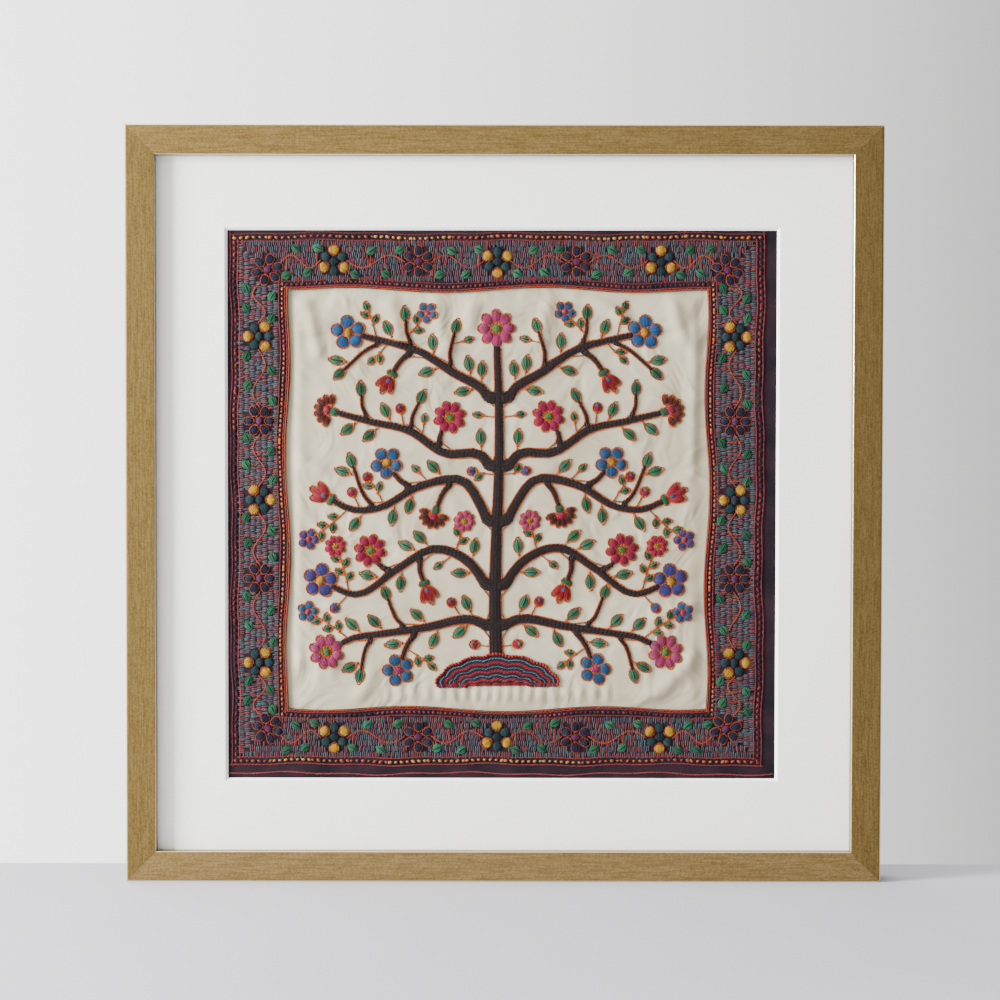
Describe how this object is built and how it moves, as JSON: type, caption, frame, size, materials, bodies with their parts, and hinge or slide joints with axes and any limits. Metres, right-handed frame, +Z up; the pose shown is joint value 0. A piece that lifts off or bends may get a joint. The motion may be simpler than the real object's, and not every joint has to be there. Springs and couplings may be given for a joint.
{
  "type": "crewel embroidery panel in a wooden frame",
  "caption": "Square crewel embroidery of a flowering tree inside a worked floral border, behind a white window mat in a flat gold-finished wooden frame.",
  "frame": {"origin": "under the middle of the bottom rail, on the plane where the frame stands, midway between the front and the back of the rails", "axes": "+X to the right as seen from the front, +Y from the front of the frame to its back, +Z up"},
  "size_m": [0.55, 0.03, 0.55],
  "materials": {
    "gold_frame": "gold leaf or foil over wood, satin, with fine brushed grain",
    "mat_board": "matte white mat board with a bevelled window",
    "backing_board": "plain hardboard",
    "cream_twill": "unbleached cotton twill",
    "maroon_worked_cloth": "close wool stitches over dark cloth",
    "bark_wool": "dark brown crewel wool",
    "mound_wool": "maroon crewel wool",
    "aster_wool": "magenta crewel wool",
    "round_wool": "blue crewel wool",
    "tulip_wool": "red crewel wool",
    "carnation_wool": "dark brown and crimson crewel wool",
    "navy_wool": "dark navy crewel wool",
    "yellow_wool": "yellow crewel wool"
  },
  "bodies": {
    "root": {"backing_board": "backing_board", "border_bottom_rosette_2": "navy_wool", "border_bottom_rosette_4": "navy_wool", "border_bottom_trefoil_1": "yellow_wool", "border_bottom_trefoil_3": "yellow_wool", "border_bottom_trefoil_5": "yellow_wool", "border_cloth": "maroon_worked_cloth", "border_corner_rosette_1": "navy_wool", "border_corner_rosette_2": "navy_wool", "border_corner_rosette_3": "navy_wool", "border_corner_rosette_4": "navy_wool", "border_left_rosette_2": "navy_wool", "border_left_rosette_4": "navy_wool", "border_left_trefoil_1": "yellow_wool", "border_left_trefoil_3": "yellow_wool", "border_left_trefoil_5": "yellow_wool", "border_right_rosette_2": "navy_wool", "border_right_rosette_4": "navy_wool", "border_right_trefoil_1": "yellow_wool", "border_right_trefoil_3": "yellow_wool", "border_right_trefoil_5": "yellow_wool", "border_top_rosette_2": "navy_wool", "border_top_rosette_4": "navy_wool", "border_top_trefoil_1": "yellow_wool", "border_top_trefoil_3": "yellow_wool", "border_top_trefoil_5": "yellow_wool", "flower_01_aster": "aster_wool", "flower_02_round": "round_wool", "flower_03_tulip": "tulip_wool", "flower_04_round": "round_wool", "flower_05_aster": "aster_wool", "flower_06_carnation": "carnation_wool", "flower_07_tulip": "tulip_wool", "flower_08_round": "round_wool", "flower_09_aster": "aster_wool", "flower_10_carnation": "carnation_wool", "flower_11_tulip": "tulip_wool", "flower_12_round": "round_wool", "flower_13_aster": "aster_wool", "flower_14_round": "round_wool", "flower_15_tulip": "tulip_wool", "flower_16_round": "round_wool", "flower_17_aster": "aster_wool", "flower_18_carnation": "carnation_wool", "flower_19_tulip": "tulip_wool", "flower_20_round": "round_wool", "flower_21_aster": "aster_wool", "flower_22_carnation": "carnation_wool", "flower_23_tulip": "tulip_wool", "flower_24_round": "round_wool", "flower_25_aster": "aster_wool", "ground_cloth": "cream_twill", "mat": "mat_board", "mound": "mound_wool", "rail_bottom": "gold_frame", "rail_left": "gold_frame", "rail_right": "gold_frame", "rail_top": "gold_frame", "tree": "bark_wool"}
  },
  "joints": []
}
